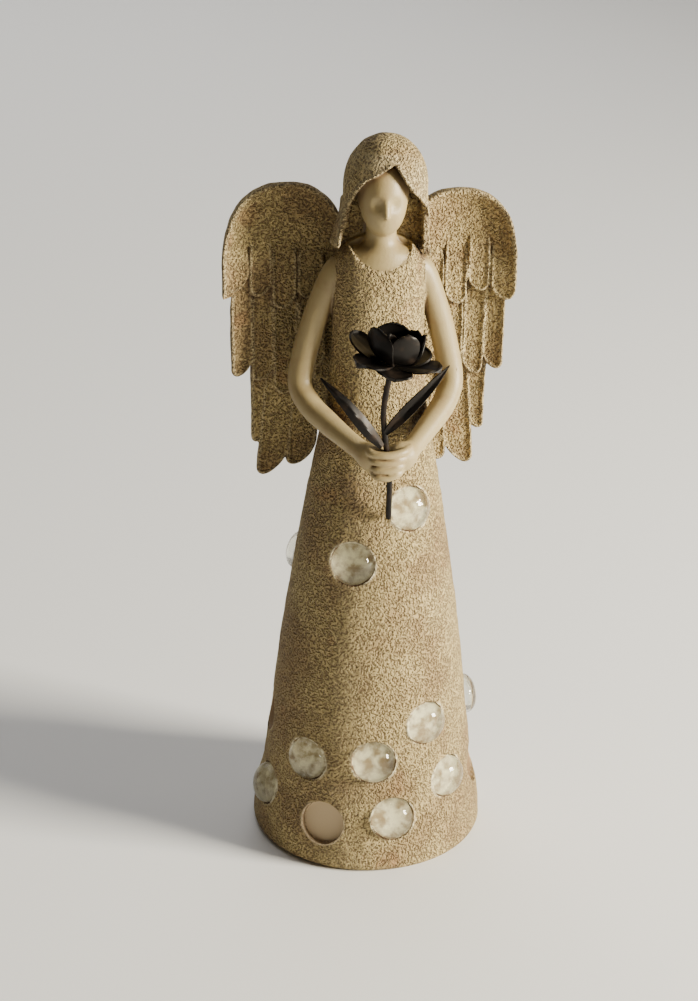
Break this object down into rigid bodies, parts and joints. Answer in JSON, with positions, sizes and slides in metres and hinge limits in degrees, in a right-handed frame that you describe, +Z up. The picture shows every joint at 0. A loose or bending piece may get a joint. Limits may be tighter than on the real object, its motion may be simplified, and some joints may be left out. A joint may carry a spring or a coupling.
{
  "type": "cemetery angel statue",
  "caption": "Standing winged angel figurine for a grave or garden, in a long flared gown set with clear glass nuggets, holding a black metal rose.",
  "frame": {"origin": "centre of the round flat underside of the gown, on the surface it stands on", "axes": "+Z up through the head, -Y the way the figure faces, +X to the right as seen from the front"},
  "size_m": [0.129, 0.1194, 0.3306],
  "materials": {
    "cast_resin": "matte, pitted like sandstone, smooth on the skin",
    "clear_glass": "polished, clear",
    "black_metal": "satin black"
  },
  "bodies": {
    "root": {"angel_figure": "cast_resin", "nugget_upper_front_right": "clear_glass", "nugget_upper_front_left": "clear_glass", "nugget_upper_back_left": "clear_glass", "nugget_upper_back_right": "clear_glass", "nugget_middle_front_right": "clear_glass", "nugget_middle_right": "clear_glass", "nugget_middle_front": "clear_glass", "nugget_middle_left": "clear_glass", "nugget_middle_back": "clear_glass", "nugget_lower_right": "clear_glass", "nugget_lower_front": "clear_glass", "nugget_lower_left": "clear_glass", "nugget_lower_back_left": "clear_glass", "nugget_lower_back_right": "clear_glass", "rose_stem": "black_metal", "rose_leaf_right": "black_metal", "rose_leaf_left": "black_metal", "rose_outer_petals": "black_metal", "rose_inner_petals": "black_metal", "rose_bud_petals": "black_metal"}
  },
  "joints": []
}
